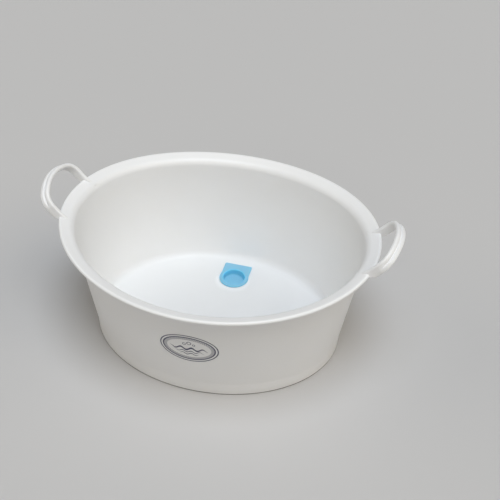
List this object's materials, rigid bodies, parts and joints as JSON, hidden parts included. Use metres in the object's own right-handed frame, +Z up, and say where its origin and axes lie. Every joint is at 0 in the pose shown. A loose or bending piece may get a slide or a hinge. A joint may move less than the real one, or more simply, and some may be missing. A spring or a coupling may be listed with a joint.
{
  "type": "washing tub",
  "caption": "Oval moulded plastic washing tub with a flared, beaded rim, tilted strap handles at its ends and a lift-out soft drain plug in its raised floor.",
  "frame": {"origin": "middle of the foot's oval, on the surface that the tub stands on", "axes": "+X along the long axis through the right handle, -Y to the front with the printed oval, +Z up"},
  "size_m": [0.47, 0.349, 0.2065],
  "materials": {
    "tub_white": "smooth glossy moulded white plastic",
    "plug_blue": "soft translucent light blue elastomer"
  },
  "bodies": {
    "tub": {"tub_shell": "tub_white", "left_handle": "tub_white", "right_handle": "tub_white"},
    "plug": {"drain_plug": "plug_blue"}
  },
  "joints": [
    {"name": "plug_lift", "type": "slide", "parent": "tub", "child": "plug", "axis": [0, 0, 1], "range_m": [0, 0.05]}
  ]
}
